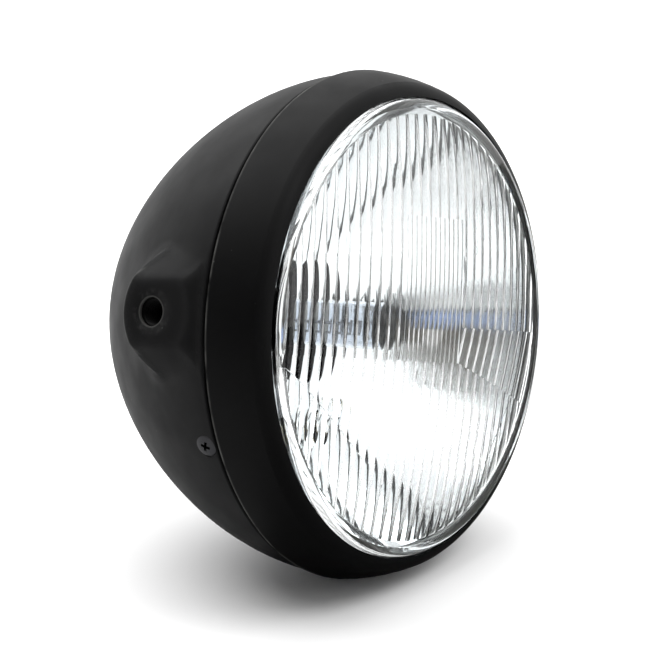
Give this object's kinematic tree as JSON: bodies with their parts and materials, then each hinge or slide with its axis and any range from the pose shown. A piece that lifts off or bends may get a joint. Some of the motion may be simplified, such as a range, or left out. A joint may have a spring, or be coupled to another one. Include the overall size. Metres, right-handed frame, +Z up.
{
  "type": "motorcycle headlight",
  "caption": "Round side-mount motorcycle headlight: black steel bowl and trim rim round a fluted glass and reflector unit with a two-filament bulb.",
  "frame": {"origin": "centre of the lamp's bounding box, on the lens axis", "axes": "+Z up, the lens faces -Y, +X to the right of someone who looks at the lens; the tilt axis through the two side mounts runs along X"},
  "size_m": [0.186, 0.1296, 0.186],
  "materials": {
    "shell_coat": "satin black powder coat",
    "rim_coat": "satin black powder coat",
    "black_screw": "blackened steel",
    "zinc_steel": "zinc plated",
    "spring_steel": "bright spring wire",
    "lens_glass": "clear pressed glass",
    "gasket_rubber": "matt",
    "seal_bead": "grey sealing bead",
    "reflector_silver": "vacuum metallised",
    "bulb_cap_moulding": "matt",
    "bulb_blue_glass": "clear, tinted blue",
    "tungsten": "coiled wire",
    "terminal_brass": "bright",
    "boot_rubber": "matt",
    "pilot_rubber": "matt",
    "pilot_brass": "nickel plated",
    "pilot_clear_glass": "clear"
  },
  "bodies": {
    "root": {"headlamp_shell": "shell_coat", "mount_nuts": "zinc_steel", "cable_grommet": "gasket_rubber", "rim_retainer": "zinc_steel", "retaining_clips": "spring_steel", "rim_screws": "black_screw", "rim_nuts": "zinc_steel", "trim_rim": "rim_coat", "lens": "lens_glass", "lens_gasket": "gasket_rubber", "lens_seal": "seal_bead", "reflector": "reflector_silver", "bulb_holder": "zinc_steel", "bulb_collar": "zinc_steel", "bulb_cap": "bulb_cap_moulding", "bulb_glass": "bulb_blue_glass", "main_filament": "tungsten", "dipped_filament": "tungsten", "dip_shield": "spring_steel", "filament_posts": "spring_steel", "bulb_terminals": "terminal_brass", "bulb_spring": "spring_steel", "bulb_boot": "boot_rubber", "pilot_holder": "pilot_rubber", "pilot_base": "pilot_brass", "pilot_glass": "pilot_clear_glass"}
  },
  "joints": []
}
